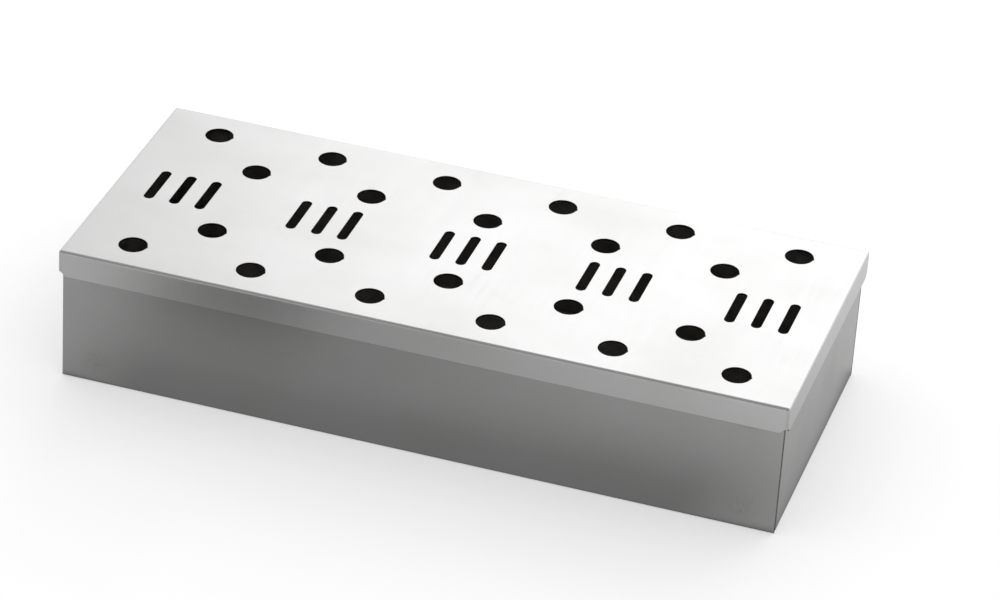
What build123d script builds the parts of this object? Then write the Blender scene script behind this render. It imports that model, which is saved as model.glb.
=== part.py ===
from build123d import *
import os

# A smoker box for a gas grill: a folded stainless steel tray that holds wood chips, and a loose lid
# that lifts off, with round vents and straight slots for the smoke. Each is one folded sheet, and its
# corners are closed by welds.
# The origin is the middle of the tray's underside. +X runs along the box, +Y to its back, +Z up.
# The front is the long side at -Y. All sizes are in millimetres.

# The sheet that tray and lid are folded from
sheet = 0.6
fold_inside = 0.25
fold_outside = fold_inside + sheet

# Box as it stands, with its lid on
lid_length = 230.0
lid_width = 98.4
overall_height = 45.0

# Lid
flange_depth = 8.8
flange_corner_cut = 1.5

# Round vents: a row near each long edge, and a shorter row further in whose holes lie between. Each has
# a small round nick at its +X side, where the cutting of it began and ended.
vent_radius = 4.45
vent_nick_radius = 1.0
vent_nick_depth = 0.25
vent_end_margin = 19.5
vent_side_margin = 12.2
outer_row_vents = 6
inner_row_offset = 19.5

# Straight slots: groups of three, side by side, along the middle of the lid
slot_width = 3.2
slot_length = 18.0
slot_pitch = 8.4
slots_in_group = 3
slot_groups = 5
slot_end_margin = 21.4

# Tray: its outside is the lid's inside less a gap all round, and its rim carries the lid
lid_gap = 0.5
tray_length = lid_length - 2 * (sheet + lid_gap)
tray_width = lid_width - 2 * (sheet + lid_gap)
tray_height = overall_height - sheet

# Upright seams: the long walls run on in front of the end walls' folds, and end just short of their faces
seam_setback = 0.1
long_wall_length = tray_length - 2 * seam_setback

# Spot welds between each end wall's tabs and the long walls
weld_radius = 1.3
weld_rim = 0.2
weld_dish_depth = 0.06
weld_from_end = 10.8
weld_above_base = 8.0
weld_below_rim = 6.0

# Tabs: the end walls' sides, folded in behind the long walls
tab_gap = 0.1
tab_past_weld = 7.0
tab_above_fold = 0.5
tab_below_rim = 0.5
tab_corner_cut = 3.0
tab_reach = weld_from_end + tab_past_weld
tab_face_y = tray_width / 2 - sheet - tab_gap
end_wall_width = 2 * (tab_face_y - fold_outside)
weld_length = 2 * sheet + tab_gap

# How far a cutting shape runs past the metal that it cuts
overrun = 1.0

# The signs of X and Y at each corner
corners = {"front_left": (-1, -1), "front_right": (1, -1), "back_left": (-1, 1), "back_right": (1, 1)}


def u_section(width, depth):
    """A U of sheet that stands on the X axis and opens towards +Y, with its two folds rounded."""
    outer = Pos(0, depth / 2) * Rectangle(width, depth)
    outer = fillet(outer.vertices().group_by(Axis.Y)[0], fold_outside)
    inner = Pos(0, sheet + depth / 2) * Rectangle(width - 2 * sheet, depth)
    inner = fillet(inner.vertices().group_by(Axis.Y)[0], fold_inside)
    return outer - inner


def folded_strip(width, span, plane):
    """A strip of sheet folded up at both ends, as high as the tray, and as wide as the span."""
    return extrude(plane * u_section(width, tray_height), span / 2, both=True)


def corner_relief(sx):
    """A block that frees the long walls from the floor beyond one end's fold, where they alone run on."""
    length = fold_outside + overrun
    x = sx * (tray_length / 2 - fold_outside + length / 2)
    return Pos(x, 0, 0) * Box(length, tray_width - 2 * fold_outside, 2 * (sheet + overrun))


def end_tabs(sx):
    """The end wall at one end with its two sides folded inwards as tabs, their free corners cut off."""
    low = fold_outside + tab_above_fold
    plan = Plane(origin=(sx * tray_length / 2, 0, low), x_dir=(0, sx, 0), z_dir=(0, 0, 1))
    tabs = extrude(plan * u_section(2 * tab_face_y, tab_reach), tray_height - tab_below_rim - low)
    free_ends = tabs.edges().filter_by(Axis.Y).group_by(Axis.X)
    return chamfer(free_ends[0] if sx > 0 else free_ends[-1], tab_corner_cut)


def weld_places(sx, sy):
    """The places of the two spot welds at one corner of the tray, turned so that Z runs through it."""
    x = sx * (tray_length / 2 - weld_from_end)
    y = sy * (tray_width / 2 - weld_length / 2)
    return [Pos(x, y, z) * Rot(90, 0, 0) for z in (weld_above_base, tray_height - weld_below_rim)]


def spot_weld():
    """One spot weld along Z: a round plug through both sheets, with a shallow round dish in each end."""
    plug = Cylinder(weld_radius, weld_length)
    dish_mouth = weld_radius - weld_rim
    dish_curve = (dish_mouth**2 + weld_dish_depth**2) / (2 * weld_dish_depth)
    for end in (-1, 1):
        plug -= Pos(0, 0, end * (weld_length / 2 + dish_curve - weld_dish_depth)) * Sphere(dish_curve)
    return plug


def make_tray():
    """The tray's folded sheet: floor, four walls and four tabs, with holes where the spot welds are."""
    tray = folded_strip(tray_width, long_wall_length, Plane.YZ)
    for sx in (-1, 1):
        tray -= corner_relief(sx)
    tray += folded_strip(tray_length, end_wall_width, Plane.XZ)
    for sx in (-1, 1):
        tray += end_tabs(sx)
    for sx, sy in corners.values():
        tray -= [place * Cylinder(weld_radius, weld_length + 2 * overrun) for place in weld_places(sx, sy)]
    return tray


def rounded_block(length, width, low, high, radius):
    """An upright block whose upright edges and top edges are rounded."""
    block = Pos(0, 0, (low + high) / 2) * Box(length, width, high - low)
    block = fillet(block.edges().filter_by(Axis.Z), radius)
    return fillet(block.faces().sort_by(Axis.Z)[-1].edges(), radius)


def lid_shell():
    """The lid's sheet with closed corners and no holes: a flat top with four flanges turned down."""
    low = overall_height - flange_depth
    inside_top = overall_height - sheet
    outside = rounded_block(lid_length, lid_width, low, overall_height, fold_outside)
    inside_size = (lid_length - 2 * sheet, lid_width - 2 * sheet)
    return outside - rounded_block(*inside_size, low - overrun, inside_top, fold_inside)


def corner_column(sx, sy, low):
    """A square column at one corner of the lid that holds all that lies beyond both flanges' ends."""
    high = overall_height + overrun
    side = fold_outside + overrun
    x = sx * (lid_length / 2 - fold_outside + side / 2)
    y = sy * (lid_width / 2 - fold_outside + side / 2)
    return Pos(x, y, (low + high) / 2) * Box(side, side, high - low)


def lid_corner_weld(sx, sy):
    """The seam weld at one corner of the lid, ground round, from the top down to the corner cut."""
    return lid_shell() & corner_column(sx, sy, overall_height - flange_depth + flange_corner_cut)


def vent_places():
    """The centres of the round vents."""
    pitch = (lid_length - 2 * vent_end_margin) / (outer_row_vents - 1)
    rows = ((lid_width / 2 - vent_side_margin, outer_row_vents), (inner_row_offset, outer_row_vents - 1))
    places = []
    for row_y, count in rows:
        for k in range(count):
            x = (k - (count - 1) / 2) * pitch
            places += [(x, row_y), (x, -row_y)]
    return places


def slot_places():
    """The centres of the straight slots."""
    group_pitch = (lid_length - 2 * slot_end_margin) / (slot_groups - 1)
    places = []
    for group in range(slot_groups):
        group_x = (group - (slot_groups - 1) / 2) * group_pitch
        for k in range(slots_in_group):
            places.append((group_x + (k - (slots_in_group - 1) / 2) * slot_pitch, 0))
    return places


def make_lid():
    """The lid's folded sheet: a top with vents and slots, and four flanges with their tips cut off."""
    low = overall_height - flange_depth
    lid = lid_shell()
    for sx, sy in corners.values():
        lid -= corner_column(sx, sy, low - overrun)
    tips = lid.edges().group_by(Axis.Z)[0].group_by(SortBy.LENGTH)[0]
    lid = chamfer(tips, flange_corner_cut)
    nick_offset = vent_radius + vent_nick_depth - vent_nick_radius
    openings = Sketch() + [Pos(x, y) * Circle(vent_radius) for x, y in vent_places()]
    openings += [Pos(x + nick_offset, y) * Circle(vent_nick_radius) for x, y in vent_places()]
    openings += [Pos(x, y) * SlotOverall(slot_length, slot_width, rotation=90) for x, y in slot_places()]
    return lid - Pos(0, 0, overall_height + overrun) * extrude(openings, -(sheet + 2 * overrun))


def make_nodes():
    """Every piece of the box by name. Each corner's two spot welds are one group."""
    nodes = {"tray": make_tray(), "lid": make_lid()}
    for name, (sx, sy) in corners.items():
        spot_welds = [place * spot_weld() for place in weld_places(sx, sy)]
        nodes["tray_spot_welds_" + name] = Compound(children=spot_welds)
        nodes["lid_corner_weld_" + name] = lid_corner_weld(sx, sy)
    return nodes


os.makedirs("parts", exist_ok=True)
for node_name, shape in make_nodes().items():
    shape.label = node_name
    export_step(shape, "parts/" + node_name + ".step")
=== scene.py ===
"""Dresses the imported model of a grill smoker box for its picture.

The box is a folded stainless steel tray with a loose lid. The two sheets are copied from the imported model
and get eased edges, a map of the flat blanks that they were folded from, and a finish for each of their
sides. The welds stay as they are packed and get finishes of their own.

Lengths are in metres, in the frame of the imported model: +X along the box, +Y to its back and +Z up. Its
front is the long side at -Y.
"""

import logging
import math
from dataclasses import dataclass, field
from enum import Enum

import bmesh
import bpy
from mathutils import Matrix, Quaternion, Vector
from mathutils.bvhtree import BVHTree


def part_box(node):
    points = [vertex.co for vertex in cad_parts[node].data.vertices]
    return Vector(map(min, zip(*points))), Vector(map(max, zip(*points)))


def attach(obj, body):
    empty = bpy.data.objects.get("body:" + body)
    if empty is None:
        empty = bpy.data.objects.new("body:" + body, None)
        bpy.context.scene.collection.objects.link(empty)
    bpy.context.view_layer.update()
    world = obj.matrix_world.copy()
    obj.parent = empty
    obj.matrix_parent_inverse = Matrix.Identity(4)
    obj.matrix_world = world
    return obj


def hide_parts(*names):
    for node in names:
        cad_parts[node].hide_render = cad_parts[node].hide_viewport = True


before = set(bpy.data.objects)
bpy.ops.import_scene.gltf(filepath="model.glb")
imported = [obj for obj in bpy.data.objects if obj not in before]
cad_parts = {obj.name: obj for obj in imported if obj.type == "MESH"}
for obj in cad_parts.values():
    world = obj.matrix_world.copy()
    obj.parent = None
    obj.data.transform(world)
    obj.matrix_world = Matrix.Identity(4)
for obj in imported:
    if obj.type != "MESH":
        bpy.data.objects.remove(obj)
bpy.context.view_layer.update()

Tree = bpy.types.NodeTree
Socket = bpy.types.NodeSocket

MM = 0.001
WHITE = "#ffffff"

# The map on each folded sheet that says where its metal lay on the flat blank, in metres
BLANK_MAP = "blank"

# Most values of a noise texture lie between these two
NOISE_LOW = 0.3
NOISE_HIGH = 0.7

# A pattern that swings this far either way fills the whole depth of a bump
HALF_DEPTH = 0.5

# The numbers of the Mix node's inputs and output for colours
MIX_SHARE = 0
MIX_FIRST = 6
MIX_SECOND = 7
MIX_RESULT = 2

log = logging.getLogger("smoker_box")


class Side(Enum):
    """The sides of a folded sheet, in the order of a piece's material slots."""

    OUTSIDE = 0
    INSIDE = 1
    CUT_EDGE = 2
    # Painted shade: the seams' folds and the vents' walls are coloured dark for the shade that falls in them
    SOOTED = 3


def linear(hex_colour: str) -> tuple[float, float, float, float]:
    """Turns an sRGB colour into the linear colour that a shader takes, by the curve of the sRGB standard.

    Args:
        hex_colour: the colour as #rrggbb.

    Returns:
        Red, green and blue, linear, and an alpha of 1.
    """
    shares = (int(hex_colour[k : k + 2], 16) / 255 for k in (1, 3, 5))
    red, green, blue = (s / 12.92 if s <= 0.04045 else ((s + 0.055) / 1.055) ** 2.4 for s in shares)
    return (red, green, blue, 1.0)


def add_node(
    tree: Tree, kind: str, inputs: dict[str | int, object] | None = None, **settings: object
) -> bpy.types.Node:
    """Adds one node to a tree, with its settings and its links.

    Args:
        tree: the node tree that gets the node.
        kind: the node's type.
        inputs: for an input's name or number, the value that it holds or the output that it is linked to.
        **settings: the node's own properties.

    Returns:
        The new node.
    """
    node = tree.nodes.new(kind)
    for name, value in settings.items():
        setattr(node, name, value)
    for key, value in (inputs or {}).items():
        if isinstance(value, Socket):
            tree.links.new(value, node.inputs[key])
        else:
            node.inputs[key].default_value = value
    return node


def calculate(tree: Tree, operation: str, *values: float | Socket) -> Socket:
    """Adds one calculation with numbers to a tree.

    Args:
        tree: the node tree that gets it.
        operation: what is done with the values, such as ADD.
        *values: the numbers, or the outputs that hold them.

    Returns:
        The output that holds the result.
    """
    return add_node(tree, "ShaderNodeMath", dict(enumerate(values)), operation=operation).outputs[0]


def calculate_vector(tree: Tree, operation: str, *values: tuple[float, float, float] | Socket) -> Socket:
    """Adds one calculation with vectors to a tree.

    Args:
        tree: the node tree that gets it.
        operation: what is done with the values, such as ADD.
        *values: the vectors, or the outputs that hold them.

    Returns:
        The output that holds the result, which is a number for LENGTH and a vector for all others.
    """
    node = add_node(tree, "ShaderNodeVectorMath", dict(enumerate(values)), operation=operation)
    return node.outputs["Value" if operation == "LENGTH" else "Vector"]


def ramp(
    tree: Tree,
    value: Socket,
    span: tuple[float, float] = (0.0, 1.0),
    result: tuple[float | Socket, float | Socket] = (0.0, 1.0),
    soft: bool = False,
) -> Socket:
    """Adds a ramp to a tree, which rescales a value and stays level beyond both ends of its span.

    Args:
        tree: the node tree that gets it.
        value: the output that is rescaled.
        span: the values at which the ramp starts and ends.
        result: what it gives at its start and at its end.
        soft: whether it starts and ends gently.

    Returns:
        The output that holds the result.
    """
    inputs = {
        "Value": value,
        "From Min": span[0],
        "From Max": span[1],
        "To Min": result[0],
        "To Max": result[1],
    }
    course = "SMOOTHSTEP" if soft else "LINEAR"
    return add_node(tree, "ShaderNodeMapRange", inputs, interpolation_type=course).outputs[0]


def mix(tree: Tree, share: Socket, first: str | Socket, second: str) -> Socket:
    """Adds a mix of two colours to a tree.

    Args:
        tree: the node tree that gets it.
        share: the output that says how much of the second colour there is, from 0 to 1.
        first: the first colour, as #rrggbb or as an output.
        second: the second colour, as #rrggbb.

    Returns:
        The output that holds the mixed colour.
    """
    start = linear(first) if isinstance(first, str) else first
    colours = {MIX_SHARE: share, MIX_FIRST: start, MIX_SECOND: linear(second)}
    return add_node(tree, "ShaderNodeMix", colours, data_type="RGBA").outputs[MIX_RESULT]


def bump(tree: Tree, height: Socket, depth: float, normal: Socket | None = None) -> Socket:
    """Adds a fine relief to a tree.

    Args:
        tree: the node tree that gets it.
        height: the output that holds the relief, which spans 1 from its lowest to its highest.
        depth: how deep that is on the metal, in metres.
        normal: the output of a relief that this one lies on, if there is one.

    Returns:
        The output that holds the surface's direction.
    """
    inputs = {"Height": height, "Distance": depth}
    if normal is not None:
        inputs["Normal"] = normal
    return add_node(tree, "ShaderNodeBump", inputs).outputs[0]


def object_place(tree: Tree) -> Socket:
    """Adds the object coordinates to a tree."""
    return add_node(tree, "ShaderNodeTexCoord").outputs["Object"]


def new_material(name: str) -> tuple[bpy.types.Material, Tree]:
    """Makes a material with an empty node tree.

    Args:
        name: the material's name.

    Returns:
        The material and its node tree.
    """
    material = bpy.data.materials.new(name)
    material.use_nodes = True
    material.node_tree.nodes.clear()
    return material, material.node_tree


def end_tree(
    tree: Tree, shader_kind: str, inputs: dict[str, object], output_kind: str = "ShaderNodeOutputMaterial"
) -> None:
    """Ends a tree with its shader and its output.

    Args:
        tree: the node tree that gets them.
        shader_kind: the shader's type.
        inputs: what the shader's inputs hold or are linked to.
        output_kind: the output's type.
    """
    shader = add_node(tree, shader_kind, inputs)
    add_node(tree, output_kind, {"Surface": shader.outputs[0]})


def end_metal(
    tree: Tree, colour: Socket, metallic: float | Socket, roughness: Socket, normal: Socket
) -> None:
    """Ends the tree of a metal's finish.

    Args:
        tree: the node tree that is ended.
        colour: the metal's colour.
        metallic: how far it mirrors as bare metal does, from 0 to 1.
        roughness: how far it blurs what it mirrors.
        normal: the surface's direction.
    """
    inputs = {"Base Color": colour, "Metallic": metallic, "Roughness": roughness, "Normal": normal}
    end_tree(tree, "ShaderNodeBsdfPrincipled", inputs)


def seen_rays(tree: Tree) -> Socket:
    """Adds a test for the rays that show the background.

    They are the camera's own and those that metal or glass sends on.

    Args:
        tree: the node tree that gets the test.

    Returns:
        The output that is 1 for such a ray and 0 for light that falls on a matt surface.
    """
    path = add_node(tree, "ShaderNodeLightPath").outputs
    seen = path["Is Camera Ray"]
    for ray in ("Is Glossy Ray", "Is Transmission Ray"):
        seen = calculate(tree, "MAXIMUM", seen, path[ray])
    return seen


@dataclass(frozen=True)
class Texture:
    """A noise pattern of a real size that swings a value.

    Attributes:
        size: how far one light and dark patch reaches along each axis, in metres.
        detail: how many finer layers lie on it.
    """

    size: tuple[float, float, float]
    detail: float

    def swing(self, tree: Tree, place: Socket, reach: float, floor: float = -1.0) -> Socket:
        """Adds the pattern to a tree.

        Args:
            tree: the node tree that gets the pattern.
            place: the coordinates that the pattern reads.
            reach: the value at the pattern's lightest patches.
            floor: the share of the reach at its darkest patches, which is -1 for an even swing either way.

        Returns:
            The output that holds the value.
        """
        scale = tuple(1 / length for length in self.size)
        scaled = add_node(tree, "ShaderNodeMapping", {"Vector": place, "Scale": scale}).outputs[0]
        noise = add_node(tree, "ShaderNodeTexNoise", {"Vector": scaled, "Scale": 1.0, "Detail": self.detail})
        return ramp(tree, noise.outputs[0], span=(NOISE_LOW, NOISE_HIGH), result=(reach * floor, reach))


@dataclass(frozen=True)
class Scratches:
    """Sparse hair-fine scratches.

    Attributes:
        width: how wide the pattern's patches are, in metres. A scratch is the thin crest of one.
        length: how long they are, in metres.
        turn: which way they run, in radians from the sheet's own lines.
        crest: how high the noise has to be to leave a scratch, from 0 to 1.
        crest_fade: how much higher it is where the scratch is at its full strength.
    """

    width: float
    length: float
    turn: float
    crest: float = 0.68
    crest_fade: float = 0.04

    def mask(self, tree: Tree, place: Socket) -> Socket:
        """Adds the scratches to a tree.

        Args:
            tree: the node tree that gets them.
            place: the coordinates that they read.

        Returns:
            The output that is 1 on a scratch and 0 beside it.
        """
        turned = add_node(tree, "ShaderNodeMapping", {"Vector": place, "Rotation": (0.0, 0.0, self.turn)})
        scale = (1 / self.width, 1 / self.length, 1.0)
        scaled = add_node(tree, "ShaderNodeMapping", {"Vector": turned.outputs[0], "Scale": scale})
        inputs = {"Vector": scaled.outputs[0], "Scale": 1.0, "Detail": 0.0}
        noise = add_node(tree, "ShaderNodeTexNoise", inputs)
        return ramp(tree, noise.outputs[0], span=(self.crest, self.crest + self.crest_fade))


@dataclass(frozen=True)
class HeatMarks:
    """The places on the tray's long walls that the spot welds have heated.

    Attributes:
        along: how far each weld is from the middle of the box, in metres.
        heights: the welds' heights, in metres.
        inner: the radius at which the tint is strongest, in metres.
        outer: the radius at which it ends, in metres.
        mottle: the blotches that the tint breaks up into.
    """

    along: float
    heights: tuple[float, ...]
    inner: float = 1.5 * MM
    outer: float = 6.5 * MM
    mottle: Texture = Texture((1.5 * MM, 1.5 * MM, 1.5 * MM), 3.0)

    def mask(self, tree: Tree, place: Socket) -> Socket:
        """Adds the marks to a tree.

        Args:
            tree: the node tree that gets them.
            place: the object coordinates.

        Returns:
            The output that is 1 at the strongest blotches beside a weld and 0 beyond the tint.
        """
        mirrored = calculate_vector(tree, "ABSOLUTE", place)
        marks = 0.0
        for height in self.heights:
            away = calculate_vector(tree, "SUBTRACT", mirrored, (self.along, 0.0, height))
            # A mark is round on the wall, whichever long wall it lies on
            on_wall = calculate_vector(tree, "MULTIPLY", away, (1.0, 0.0, 1.0))
            distance = calculate_vector(tree, "LENGTH", on_wall)
            mark = ramp(tree, distance, span=(self.outer, self.inner), soft=True)
            marks = calculate(tree, "MAXIMUM", marks, mark)
        return calculate(tree, "MULTIPLY", marks, self.mottle.swing(tree, place, 1.0, 0.0))


@dataclass(frozen=True)
class SatinSheet:
    """Stainless steel sheet with a fine satin brushing, as rolled and brushed before it was cut.

    To the eye it is an even light grey that mirrors its surroundings only as broad soft tones. The brushed
    lines run across the box and up its long walls. Real ones are about 0.05 mm apart, too fine to show, so
    these are wider.

    Attributes:
        name: what the sheet is and how it was made.
        colour: its colour as #rrggbb.
        dull_colour: the colour of its dull patches.
        tint_colour: the colour that a weld's heat has left.
        tint_share: how much of that colour the strongest tint has.
        heat_roughness: how much rougher the strongest tint is.
        roughness: how far the sheet blurs what it mirrors.
        line_roughness: how much that changes from line to line, either way.
        smudge_roughness: how much it changes from patch to patch, either way.
        scratch_roughness: how much rougher a scratch is.
        lines: the brushed lines.
        line_depth: how deep they are, in metres.
        smudges: the broad dull patches that handling leaves.
        waves: the sheet's slight waviness.
        wave_depth: how deep it is, in metres.
        scratches: the scratches, a set for each way that they run.
    """

    name: str = "satin_brushed_stainless_steel"
    colour: str = "#bcbcbc"
    dull_colour: str = "#b5b5b4"
    tint_colour: str = "#a09d98"
    tint_share: float = 0.3
    heat_roughness: float = 0.2
    roughness: float = 0.34
    line_roughness: float = 0.02
    smudge_roughness: float = 0.014
    scratch_roughness: float = 0.02
    lines: Texture = Texture((0.35 * MM, 40 * MM, 1 * MM), 3.0)
    line_depth: float = 0.0012 * MM
    smudges: Texture = Texture((45 * MM, 30 * MM, 30 * MM), 3.0)
    waves: Texture = Texture((70 * MM, 70 * MM, 70 * MM), 0.0)
    wave_depth: float = 0.03 * MM
    scratches: tuple[Scratches, ...] = (
        Scratches(0.5 * MM, 30 * MM, math.radians(14)),
        Scratches(0.5 * MM, 18 * MM, math.radians(-62)),
    )

    def material(self, heat: HeatMarks | None = None) -> bpy.types.Material:
        """Makes the material.

        Args:
            heat: the places that welding has tinted, if the sheet has any.

        Returns:
            The finished material.
        """
        material, tree = new_material(self.name)
        blank = add_node(tree, "ShaderNodeUVMap", uv_map=BLANK_MAP).outputs[0]
        place = object_place(tree)
        smudge = self.smudges.swing(tree, place, 1.0)
        colour = mix(tree, ramp(tree, smudge, span=(-1.0, 1.0)), self.colour, self.dull_colour)
        changes = [(smudge, self.smudge_roughness)]
        changes += [(scratch.mask(tree, blank), self.scratch_roughness) for scratch in self.scratches]
        if heat:
            marks = heat.mask(tree, place)
            changes.append((marks, self.heat_roughness))
            colour = mix(tree, calculate(tree, "MULTIPLY", marks, self.tint_share), colour, self.tint_colour)

        roughness = self.lines.swing(tree, blank, self.line_roughness)
        for strength, amount in changes:
            roughness = calculate(tree, "MULTIPLY_ADD", strength, amount, roughness)
        roughness = calculate(tree, "ADD", roughness, self.roughness)

        waved = bump(tree, self.waves.swing(tree, place, HALF_DEPTH), self.wave_depth)
        brushed = bump(tree, self.lines.swing(tree, blank, HALF_DEPTH), self.line_depth, waved)
        end_metal(tree, colour=colour, metallic=1.0, roughness=roughness, normal=brushed)
        return material


@dataclass(frozen=True)
class SmokeAndShadeSheet:
    """The sheet's inner side, darkened by smoke and heat, and darker still as painted shade for the inside of
    the closed box.

    To the eye it is a matt grey-brown film, mottled where the smoke settled unevenly and worn thin near the
    rim, where bare steel shows through. Under the closed lid it stays in the dark, so that the vents look
    black.

    Attributes:
        name: what it is.
        film_colour: the colour of the thin film, as #rrggbb.
        thick_film_colour: the colour of the thick film.
        steel_colour: the colour of the steel where the film is worn off.
        film_roughness: how far the thin film blurs what it mirrors.
        roughness_swing: how much more the thick film does.
        film_metallic: how far the film mirrors as bare metal does, from 0 to 1.
        mottle: the film's thin and thick patches.
        bare_edge: how the line that it is worn down to wanders.
        bare_depth: how far below the rim the wear starts, in metres.
        bare_fade: how far above that the steel is bare, in metres.
        bare_wander: how far the line wanders up and down, in metres.
        film_depth: how deep the film's relief is, in metres.
    """

    name: str = "smoke_darkened_stainless_steel"
    film_colour: str = "#aaa6a1"
    thick_film_colour: str = "#85817c"
    steel_colour: str = "#a9a7a3"
    film_roughness: float = 0.55
    roughness_swing: float = 0.08
    film_metallic: float = 0.35
    mottle: Texture = Texture((9 * MM, 9 * MM, 9 * MM), 4.0)
    bare_edge: Texture = Texture((14 * MM, 14 * MM, 5 * MM), 3.0)
    bare_depth: float = 6 * MM
    bare_fade: float = 4 * MM
    bare_wander: float = 3 * MM
    film_depth: float = 0.01 * MM

    def material(self, rim: float | None = None) -> bpy.types.Material:
        """Makes the material.

        Args:
            rim: the height of the rim below which the film wears off, or None where it covers the whole side.

        Returns:
            The finished material.
        """
        material, tree = new_material(self.name if rim is None else self.name + "_worn_at_rim")
        place = object_place(tree)
        mottle = self.mottle.swing(tree, place, 1.0, 0.0)
        colour = mix(tree, mottle, self.film_colour, self.thick_film_colour)
        metallic = self.film_metallic
        if rim is not None:
            height = add_node(tree, "ShaderNodeSeparateXYZ", {0: place}).outputs["Z"]
            line = calculate(tree, "ADD", height, self.bare_edge.swing(tree, place, self.bare_wander))
            low = rim - self.bare_depth
            bare = ramp(tree, line, span=(low, low + self.bare_fade), soft=True)
            colour = mix(tree, bare, colour, self.steel_colour)
            metallic = ramp(tree, bare, result=(self.film_metallic, 1.0))
        thick_roughness = self.film_roughness + self.roughness_swing
        roughness = ramp(tree, mottle, result=(self.film_roughness, thick_roughness))
        normal = bump(tree, mottle, self.film_depth)
        end_metal(tree, colour=colour, metallic=metallic, roughness=roughness, normal=normal)
        return material


@dataclass(frozen=True)
class BareMetal:
    """Steel that a tool has left its marks in, such as a cut edge or a ground weld.

    Attributes:
        name: what it is and how it was made.
        colour: its colour as #rrggbb.
        deep_colour: the colour at the bottom of its marks.
        roughness: how far it blurs what it mirrors.
        roughness_swing: how much more it does at the bottom of its marks.
        marks: the tool's marks.
        mark_depth: how deep they are, in metres.
    """

    name: str
    colour: str
    deep_colour: str
    roughness: float
    roughness_swing: float
    marks: Texture
    mark_depth: float

    def material(self) -> bpy.types.Material:
        """Makes the material."""
        material, tree = new_material(self.name)
        marks = self.marks.swing(tree, object_place(tree), 1.0, 0.0)
        colour = mix(tree, marks, self.deep_colour, self.colour)
        roughness = ramp(tree, marks, result=(self.roughness + self.roughness_swing, self.roughness))
        normal = bump(tree, marks, self.mark_depth)
        end_metal(tree, colour=colour, metallic=1.0, roughness=roughness, normal=normal)
        return material


# A blank's cut edge: a dark grey line, partly the oxide that the cutting left and partly painted shade that
# deepens the seams, with short upright marks
CUT_EDGE = BareMetal(
    name="laser_cut_stainless_steel_edge",
    colour="#7a7876",
    deep_colour="#524f4d",
    roughness=0.45,
    roughness_swing=0.12,
    marks=Texture((0.25 * MM, 0.25 * MM, 0.9 * MM), 2.0),
    mark_depth=0.01 * MM,
)

# The fold of a tab where it lies in the open seam behind a long wall: coloured darker as painted shade, for
# the shade that falls in the seam
SHADE_PAINTED_SEAM = BareMetal(
    name="stainless_steel_seam_painted_shade",
    colour="#898683",
    deep_colour="#6c6a67",
    roughness=0.50,
    roughness_swing=0.10,
    marks=Texture((1.2 * MM, 1.2 * MM, 2.5 * MM), 3.0),
    mark_depth=0.005 * MM,
)

# The wall of a vent or slot: laser-cut, and coloured near black as painted shade, for the dark inside the
# closed box
SHADE_PAINTED_VENT = BareMetal(
    name="laser_cut_stainless_steel_vent_painted_shade",
    colour="#403e3c",
    deep_colour="#2b2928",
    roughness=0.60,
    roughness_swing=0.10,
    marks=Texture((0.25 * MM, 0.25 * MM, 0.9 * MM), 2.0),
    mark_depth=0.01 * MM,
)

# A corner weld ground flush: a soft shine just darker than the lid's painted-lighter steel, and so painted
# lighter too, with short level grinding marks
GROUND_WELD = BareMetal(
    name="ground_stainless_steel_weld",
    colour="#cbcbc9",
    deep_colour="#bebdbb",
    roughness=0.38,
    roughness_swing=0.08,
    marks=Texture((0.8 * MM, 0.8 * MM, 0.3 * MM), 2.0),
    mark_depth=0.008 * MM,
)

# A spot weld as the electrode left it: a dull grey dish with a faint warm cast
PRESSED_WELD = BareMetal(
    name="pressed_stainless_steel_spot_weld",
    colour="#bebdba",
    deep_colour="#adaba8",
    roughness=0.40,
    roughness_swing=0.12,
    marks=Texture((0.5 * MM, 0.5 * MM, 0.5 * MM), 2.0),
    mark_depth=0.01 * MM,
)


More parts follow.
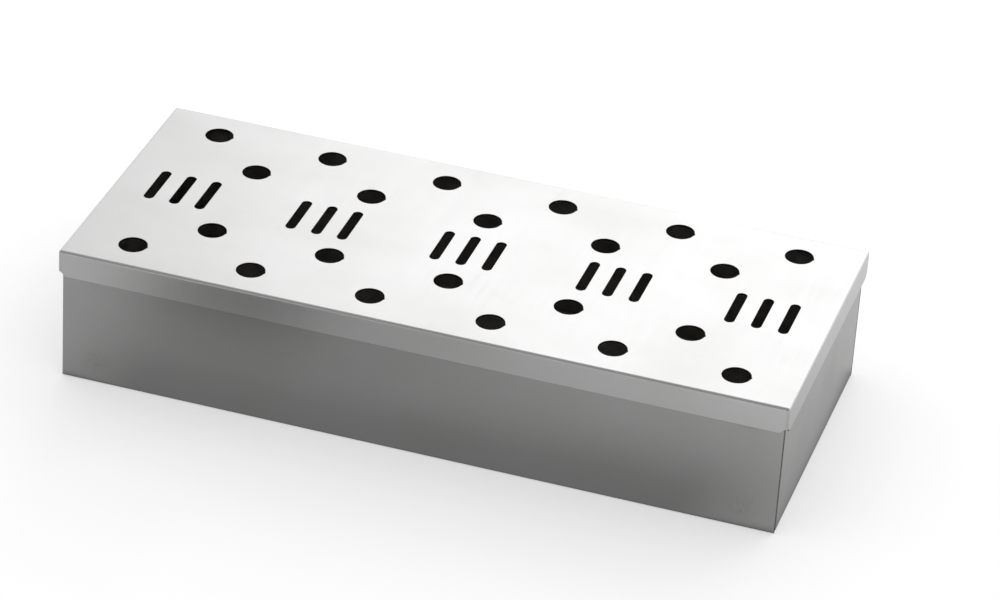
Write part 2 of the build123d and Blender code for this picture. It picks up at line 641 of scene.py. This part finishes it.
@dataclass
class FoldedSheet:
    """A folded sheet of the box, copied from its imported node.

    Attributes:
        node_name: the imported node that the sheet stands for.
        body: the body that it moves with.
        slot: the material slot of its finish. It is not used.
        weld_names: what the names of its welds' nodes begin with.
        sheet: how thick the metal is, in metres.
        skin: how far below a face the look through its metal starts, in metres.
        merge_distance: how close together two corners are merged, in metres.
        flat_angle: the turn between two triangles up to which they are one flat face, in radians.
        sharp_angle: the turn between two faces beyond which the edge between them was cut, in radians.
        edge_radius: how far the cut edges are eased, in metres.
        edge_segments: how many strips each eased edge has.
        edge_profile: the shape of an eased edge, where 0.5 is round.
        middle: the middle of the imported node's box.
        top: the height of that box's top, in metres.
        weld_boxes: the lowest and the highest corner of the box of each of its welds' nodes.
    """

    node_name: str
    body: str
    slot: str
    weld_names: str
    sheet: float = 0.6 * MM
    skin: float = 0.06 * MM
    merge_distance: float = 0.001 * MM
    flat_angle: float = math.radians(0.5)
    sharp_angle: float = math.radians(30)
    edge_radius: float = 0.07 * MM
    edge_segments: int = 2
    edge_profile: float = 0.5
    middle: Vector = field(init=False)
    top: float = field(init=False)
    weld_boxes: list[tuple[Vector, Vector]] = field(init=False)

    def __post_init__(self) -> None:
        """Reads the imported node's box and the boxes of its welds."""
        low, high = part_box(self.node_name)
        self.middle = (low + high) / 2
        self.top = high.z
        self.weld_boxes = [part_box(name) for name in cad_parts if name.startswith(self.weld_names)]

    def is_welded(self, edge: bmesh.types.BMEdge) -> bool:
        """Tells whether an edge of the sheet is closed by a weld, so that it stays as it is."""
        reach = self.merge_distance
        for low, high in self.weld_boxes:
            if all(low[k] - reach <= vert.co[k] <= high[k] + reach for vert in edge.verts for k in range(3)):
                return True
        return False

    def side_of(self, face: bmesh.types.BMFace, metal: BVHTree) -> Side:
        """Tells which side of the sheet a face of its mesh belongs to.

        Args:
            face: a face of the merged copy.
            metal: the whole copy, to look through the metal behind the face.

        Returns:
            A cut edge where the metal behind the face is thicker than the sheet, or else the outside or the
            inside.
        """
        centre = face.calc_center_median()
        start = centre - face.normal * self.skin
        depth = metal.ray_cast(start, -face.normal)[3]
        if depth is None or depth > self.sheet:
            return Side.CUT_EDGE
        return Side.OUTSIDE if face.normal.dot(centre - self.middle) > 0 else Side.INSIDE

    def merged_copy(self) -> bmesh.types.BMesh:
        """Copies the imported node's mesh, merges its loose triangles and sorts them by the sheet's sides."""
        shape = bmesh.new()
        shape.from_mesh(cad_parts[self.node_name].data)
        bmesh.ops.remove_doubles(shape, verts=shape.verts, dist=self.merge_distance)
        metal = BVHTree.FromBMesh(shape)
        for face in shape.faces:
            face.material_index = self.side_of(face, metal).value
        return shape

    def ease_edges(self, shape: bmesh.types.BMesh) -> None:
        """Joins the triangles of each flat face and rounds the cut edges, which stay as dark as the cut.

        Args:
            shape: the merged copy, which is changed.
        """
        bmesh.ops.dissolve_limit(
            shape, angle_limit=self.flat_angle, verts=shape.verts, edges=shape.edges, delimit={"MATERIAL"}
        )
        sharp = [edge for edge in shape.edges if edge.calc_face_angle(0.0) > self.sharp_angle]
        sharp = [edge for edge in sharp if not self.is_welded(edge)]
        bmesh.ops.bevel(
            shape,
            geom=sharp,
            offset=self.edge_radius,
            offset_type="OFFSET",
            affect="EDGES",
            segments=self.edge_segments,
            profile=self.edge_profile,
            material=Side.CUT_EDGE.value,
            clamp_overlap=True,
        )

    def map_blank(self, shape: bmesh.types.BMesh) -> None:
        """Maps each face to where it lay on the flat blank, so that the brushed lines run on round the folds.

        Args:
            shape: the copy, which gets the map.
        """
        blank = shape.loops.layers.uv.new(BLANK_MAP)
        base = self.middle.z
        for face in shape.faces:
            for loop in face.loops:
                place = loop.vert.co
                drop = abs(place.z - base)
                loop[blank].uv = (place.x + face.normal.x * drop, place.y + face.normal.y * drop)

    def build(self, finishes: dict[Side, bpy.types.Material]) -> None:
        """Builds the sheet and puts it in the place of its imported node.

        Args:
            finishes: the material of each side.
        """
        shape = self.merged_copy()
        self.ease_edges(shape)
        self.map_blank(shape)
        for face in shape.faces:
            face.smooth = True
        mesh = bpy.data.meshes.new(self.node_name + "_sheet")
        shape.to_mesh(mesh)
        shape.free()
        for side in Side:
            mesh.materials.append(finishes[side])
        piece = bpy.data.objects.new(self.node_name + "_sheet", mesh)
        bpy.context.scene.collection.objects.link(piece)
        # The flat faces keep their own direction, so that only the folds and eased edges shade round
        piece.modifiers.new("even_shading", "WEIGHTED_NORMAL")
        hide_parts(self.node_name)
        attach(piece, self.body)
        log.info("%s: %d faces, in place of %s", piece.name, len(mesh.polygons), self.node_name)


@dataclass
class Tray(FoldedSheet):
    """The tray's folded sheet and the spot welds that hold its corners.

    Attributes:
        fold_turn: how far a face leans away from both pairs of walls where it belongs to an upright fold, as
            the sine of that angle.
    """

    node_name: str = "tray"
    body: str = "tray"
    slot: str = "tray_sheet"
    weld_names: str = "tray_spot_welds_"
    fold_turn: float = math.sin(math.radians(3))

    def side_of(self, face: bmesh.types.BMFace, metal: BVHTree) -> Side:
        """Tells which side of the sheet a face belongs to.

        The tabs' upright folds lie in the open seams.

        Args:
            face: a face of the merged copy.
            metal: the whole copy, to look through the metal behind the face.

        Returns:
            Painted shade for the outside of an upright fold, or else what every folded sheet has.
        """
        side = super().side_of(face, metal)
        turned = min(abs(face.normal.x), abs(face.normal.y)) > self.fold_turn
        # The upright folds in the open seams get painted shade
        return Side.SOOTED if side is Side.OUTSIDE and turned else side

    def heat_marks(self) -> HeatMarks:
        """Finds the spot welds' places from the box of one corner's pair."""
        low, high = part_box(self.weld_names + "front_right")
        radius = (high.x - low.x) / 2
        return HeatMarks(along=low.x + radius, heights=(low.z + radius, high.z - radius))

    def dress(self) -> None:
        """Builds the sheet with its finishes and gives the spot welds theirs."""
        finishes = {
            Side.OUTSIDE: SatinSheet().material(self.heat_marks()),
            Side.INSIDE: SmokeAndShadeSheet().material(self.top),
            Side.CUT_EDGE: CUT_EDGE.material(),
            # The seams' folds get painted shade
            Side.SOOTED: SHADE_PAINTED_SEAM.material(),
        }
        self.build(finishes)
        dress_welds(self.weld_names, PRESSED_WELD)


@dataclass
class Lid(FoldedSheet):
    """The lid's folded sheet and the ground welds at its corners.

    Attributes:
        finish: the finish of its outer side, the tray's steel painted lighter as painted light.
        upright_limit: how far the direction of a face may point up or down where it belongs to an upright
            wall, from 0 to 1.
    """

    node_name: str = "lid"
    body: str = "lid"
    slot: str = "lid_sheet"
    weld_names: str = "lid_corner_weld_"
    # The lid's outer side is the tray's steel painted lighter: painted light for the light that falls on the
    # lid
    finish: SatinSheet = SatinSheet(
        name="satin_brushed_stainless_steel_painted_lighter",
        colour="#d6d6d6",
        dull_colour="#cfcfce",
        smudge_roughness=0.006,
        wave_depth=0.015 * MM,
    )
    upright_limit: float = 0.5

    def side_of(self, face: bmesh.types.BMFace, metal: BVHTree) -> Side:
        """Tells which side of the sheet a face belongs to.

        The walls of its vents and slots get a near black painted shade, for the dark inside the closed box.

        Args:
            face: a face of the merged copy.
            metal: the whole copy, to look through the metal behind the face.

        Returns:
            Painted shade for the wall of a vent or slot, or else what every folded sheet has.
        """
        side = super().side_of(face, metal)
        in_top = face.calc_center_median().z > self.top - self.sheet
        upright = abs(face.normal.z) < self.upright_limit
        return Side.SOOTED if side is Side.CUT_EDGE and in_top and upright else side

    def dress(self) -> None:
        """Builds the sheet with its finishes and gives the corner welds theirs."""
        finishes = {
            Side.OUTSIDE: self.finish.material(),
            Side.INSIDE: SmokeAndShadeSheet().material(),
            Side.CUT_EDGE: CUT_EDGE.material(),
            # The vents' walls get painted shade
            Side.SOOTED: SHADE_PAINTED_VENT.material(),
        }
        self.build(finishes)
        dress_welds(self.weld_names, GROUND_WELD)


def dress_welds(names: str, finish: BareMetal) -> None:
    """Gives a finish to each packed weld of one kind.

    Args:
        names: what the names of the welds' nodes begin with.
        finish: the finish that they get.
    """
    material = finish.material()
    for name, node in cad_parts.items():
        if name.startswith(names):
            node.data.materials.clear()
            node.data.materials.append(material)
            log.info("%s: %s", name, finish.name)


def level_square(
    name: str, half_size: float, height: float, material: bpy.types.Material
) -> bpy.types.Object:
    """Lays a level square in the scene.

    Args:
        name: the object's name.
        half_size: half its length and depth, in metres.
        height: how high it lies, in metres.
        material: its material.

    Returns:
        The square's object.
    """
    shape = bmesh.new()
    bmesh.ops.create_grid(shape, x_segments=1, y_segments=1, size=half_size)
    bmesh.ops.translate(shape, verts=shape.verts, vec=(0.0, 0.0, height))
    mesh = bpy.data.meshes.new(name)
    shape.to_mesh(mesh)
    shape.free()
    mesh.materials.append(material)
    square = bpy.data.objects.new(name, mesh)
    bpy.context.scene.collection.objects.link(square)
    return square


@dataclass(frozen=True)
class Softbox:
    """A soft rectangular lamp that faces the box and that the camera doesn't see.

    Attributes:
        name: the lamp's name.
        azimuth: where it stands, in degrees from straight behind the box towards its right end.
        elevation: how high it stands, in degrees above the floor.
        distance: how far it is from the middle of the box, in metres.
        width: its width, in metres.
        height: its height, in metres.
        brightness: its power for each square metre of its face, in watts, divided by pi.
    """

    name: str
    azimuth: float
    elevation: float
    distance: float
    width: float
    height: float
    brightness: float

    def build(self) -> None:
        """Makes the lamp and aims it at the box."""
        lamp = bpy.data.lights.new(self.name, "AREA")
        lamp.shape = "RECTANGLE"
        lamp.size = self.width
        lamp.size_y = self.height
        lamp.energy = self.brightness * math.pi * self.width * self.height
        turn = math.radians(self.azimuth)
        tilt = math.radians(self.elevation)
        towards = Vector((math.sin(turn) * math.cos(tilt), math.cos(turn) * math.cos(tilt), math.sin(tilt)))
        softbox = bpy.data.objects.new(self.name, lamp)
        softbox.location = towards * self.distance
        softbox.rotation_mode = "QUATERNION"
        softbox.rotation_quaternion = (-towards).to_track_quat("-Z", "Y")
        softbox.visible_camera = False
        bpy.context.scene.collection.objects.link(softbox)


@dataclass(frozen=True)
class ShadePatch:
    """One soft dark patch of the shade card, a plain rectangle that pales to white all round.

    Attributes:
        middle: the rectangle's middle, in metres.
        core: half the rectangle's length and depth, in metres.
        reach: how far beyond the rectangle the patch has paled to white, in metres.
        level: how bright the rectangle is, where 1 is white.
    """

    middle: tuple[float, float]
    core: tuple[float, float]
    reach: float
    level: float

    def brightness(self, tree: Tree, place: Socket) -> Socket:
        """Adds the patch to a tree.

        Args:
            tree: the node tree that gets the patch.
            place: the object coordinates.

        Returns:
            The output that holds the patch's level at its core and 1 beyond its reach.
        """
        offset = calculate_vector(tree, "SUBTRACT", place, (*self.middle, 0.0))
        away = calculate_vector(tree, "ABSOLUTE", offset)
        # The 1 metre keeps the card's height out of the distance
        beyond = calculate_vector(tree, "SUBTRACT", away, (*self.core, 1.0))
        beyond = calculate_vector(tree, "MAXIMUM", beyond, (0.0, 0.0, 0.0))
        distance = calculate_vector(tree, "LENGTH", beyond)
        return ramp(tree, distance, span=(0.0, self.reach), result=(self.level, 1.0))


@dataclass(frozen=True)
class ShadeCard:
    """A graded grey card round the foot of the box, which only the metal sees.

    It is painted shade: the box's shadow on the floor round its foot, put into the metal's reflections as a
    photographer's card shades them.

    Attributes:
        contact: the painted contact shadow under the box and close round it.
        foot: the painted shadow strip along the foot of the front wall.
        left: the painted shadow spot that the left part of the front flange mirrors.
        front: the wide painted shade patch in front of the box.
        right: the pale painted shade patch beside its right end.
        half_size: half the card's length and depth, in metres.
        height: how high it lies, in metres.
    """

    contact: ShadePatch = ShadePatch(middle=(0.0, 0.0), core=(112 * MM, 47 * MM), reach=12 * MM, level=0.10)
    foot: ShadePatch = ShadePatch(
        middle=(-4 * MM, -54 * MM), core=(87 * MM, 10 * MM), reach=100 * MM, level=0.26
    )
    left: ShadePatch = ShadePatch(
        middle=(-80 * MM, -130 * MM), core=(17 * MM, 21 * MM), reach=47 * MM, level=0.02
    )
    front: ShadePatch = ShadePatch(
        middle=(-44 * MM, -90 * MM), core=(20 * MM, 40 * MM), reach=280 * MM, level=0.355
    )
    right: ShadePatch = ShadePatch(
        middle=(116 * MM, -32 * MM), core=(2 * MM, 2 * MM), reach=245 * MM, level=0.47
    )
    half_size: float = 400 * MM
    height: float = -0.01 * MM

    def material(self) -> bpy.types.Material:
        """Makes the card's graded painted shade, which is the darkest of its patches."""
        material, tree = new_material("painted_shade_card")
        place = object_place(tree)
        level = 1.0
        for patch in (self.contact, self.foot, self.left, self.front, self.right):
            level = calculate(tree, "MINIMUM", level, patch.brightness(tree, place))
        end_tree(tree, "ShaderNodeEmission", {"Color": linear(WHITE), "Strength": level})
        return material

    def build(self) -> None:
        """Lays the card on the floor."""
        card = level_square("painted_shade_card_plane", self.half_size, self.height, self.material())
        # Only the metal's reflections see the card's painted shade, which glows at its own level and is lit
        # by nothing
        for ray in ("camera", "diffuse", "transmission", "shadow", "volume_scatter"):
            setattr(card, "visible_" + ray, False)


@dataclass
class Studio:
    """The plain pale floor, the surroundings and the lamp.

    Attributes:
        floor_size: the floor's length and depth, in metres.
        floor_drop: how far below the box it lies, in metres.
        floor_colour: its colour as #rrggbb.
        floor_roughness: how far it blurs what it mirrors.
        floor_lift: how much light of its own the camera and the metal see on it, where 1 is white.
        fibres: the fibres of its paper.
        fibre_depth: how deep they are, in metres.
        world_level: how brightly the surroundings light matt surfaces, where 1 is white.
        front_level: how bright the metal sees them towards the front.
        front_fade: how far a direction points to the back where the front's level ends and where white
            starts.
        ceiling_level: how bright the metal sees them overhead.
        ceiling_fade: how far a direction points up where white ends and where the ceiling's level starts.
        softbox: the lamp.
        card: the card that shades the metal's reflections.
    """

    floor_size: float = 8.0
    floor_drop: float = 0.02 * MM
    floor_colour: str = "#dcdcdc"
    floor_roughness: float = 0.8
    floor_lift: float = 0.36
    fibres: Texture = Texture((0.6 * MM, 0.6 * MM, 0.6 * MM), 3.0)
    fibre_depth: float = 0.01 * MM
    world_level: float = 0.85
    front_level: float = 0.33
    front_fade: tuple[float, float] = (-0.3, 0.3)
    ceiling_level: float = 0.42
    ceiling_fade: tuple[float, float] = (0.4, 0.75)
    softbox: Softbox = Softbox(
        name="back_softbox", azimuth=9.5, elevation=36.0, distance=1.6, width=1.7, height=0.9, brightness=0.96
    )
    card: ShadeCard = ShadeCard()

    def paper(self) -> bpy.types.Material:
        """Makes the floor's paper: matt and pale to the eye, with a soft shadow round the box."""
        material, tree = new_material("matt_white_studio_paper")
        fibres = self.fibres.swing(tree, object_place(tree), HALF_DEPTH)
        inputs = {
            "Base Color": linear(self.floor_colour),
            "Roughness": self.floor_roughness,
            "Normal": bump(tree, fibres, self.fibre_depth),
            "Emission Color": linear(WHITE),
            "Emission Strength": ramp(tree, seen_rays(tree), result=(0.0, self.floor_lift)),
        }
        end_tree(tree, "ShaderNodeBsdfPrincipled", inputs)
        return material

    def floor(self) -> None:
        """Lays the floor."""
        floor = level_square("floor", self.floor_size / 2, -self.floor_drop, self.paper())

    def world(self) -> None:
        """Fills the surroundings with plain light.

        The camera sees them white, and the metal sees them dim overhead and towards the front, as in a room
        that is lit from behind.
        """
        world = bpy.data.worlds.new("studio")
        world.use_nodes = True
        tree = world.node_tree
        tree.nodes.clear()
        direction = add_node(tree, "ShaderNodeTexCoord").outputs["Generated"]
        parts = add_node(tree, "ShaderNodeSeparateXYZ", {0: direction}).outputs
        room = ramp(tree, parts["Y"], span=self.front_fade, result=(self.front_level, 1.0))
        ceiling = ramp(tree, parts["Z"], span=self.ceiling_fade, result=(1.0, self.ceiling_level))
        mirrored = calculate(tree, "MINIMUM", room, ceiling)
        camera = add_node(tree, "ShaderNodeLightPath").outputs["Is Camera Ray"]
        visible = calculate(tree, "MAXIMUM", mirrored, camera)
        level = ramp(tree, seen_rays(tree), result=(self.world_level, visible))
        inputs = {"Color": linear(WHITE), "Strength": level}
        end_tree(tree, "ShaderNodeBackground", inputs, "ShaderNodeOutputWorld")
        bpy.context.scene.world = world

    def build(self) -> None:
        """Builds the whole studio."""
        self.floor()
        self.card.build()
        self.world()
        self.softbox.build()
        log.info("studio: floor, card, surroundings and %s", self.softbox.name)


@dataclass(frozen=True)
class Viewpoint:
    """The camera, where the photograph was taken from.

    Attributes:
        place: the camera's place, in metres.
        azimuth: how far it looks to the left of straight back, in degrees.
        down: how far it looks down, in degrees.
        roll: how far its right side is raised, in degrees.
        lens: its focal length, in millimetres.
        film_width: how wide its film is, in millimetres.
    """

    place: tuple[float, float, float] = (0.33392, -1.14064, 0.74931)
    azimuth: float = 15.80
    down: float = 31.25
    roll: float = 3.782
    lens: float = 162.21
    film_width: float = 36.0

    def build(self) -> None:
        """Makes the camera and hands it to the scene."""
        turn = math.radians(self.azimuth)
        tilt = math.radians(self.down)
        forward = Vector((-math.sin(turn) * math.cos(tilt), math.cos(turn) * math.cos(tilt), -math.sin(tilt)))
        camera = bpy.data.cameras.new("camera")
        camera.lens = self.lens
        camera.sensor_width = self.film_width
        seat = bpy.data.objects.new("camera", camera)
        seat.location = self.place
        seat.rotation_mode = "QUATERNION"
        rolled = Quaternion((0.0, 0.0, 1.0), math.radians(self.roll))
        seat.rotation_quaternion = forward.to_track_quat("-Z", "Y") @ rolled
        bpy.context.scene.collection.objects.link(seat)
        bpy.context.scene.camera = seat


def main() -> None:
    """Builds the camera, the studio and the box, and reports each piece."""
    logging.basicConfig(level=logging.INFO, format="%(message)s")
    bpy.context.scene.view_settings.view_transform = "Standard"
    Viewpoint().build()
    Studio().build()
    Tray().dress()
    Lid().dress()


if __name__ == "__main__":
    main()
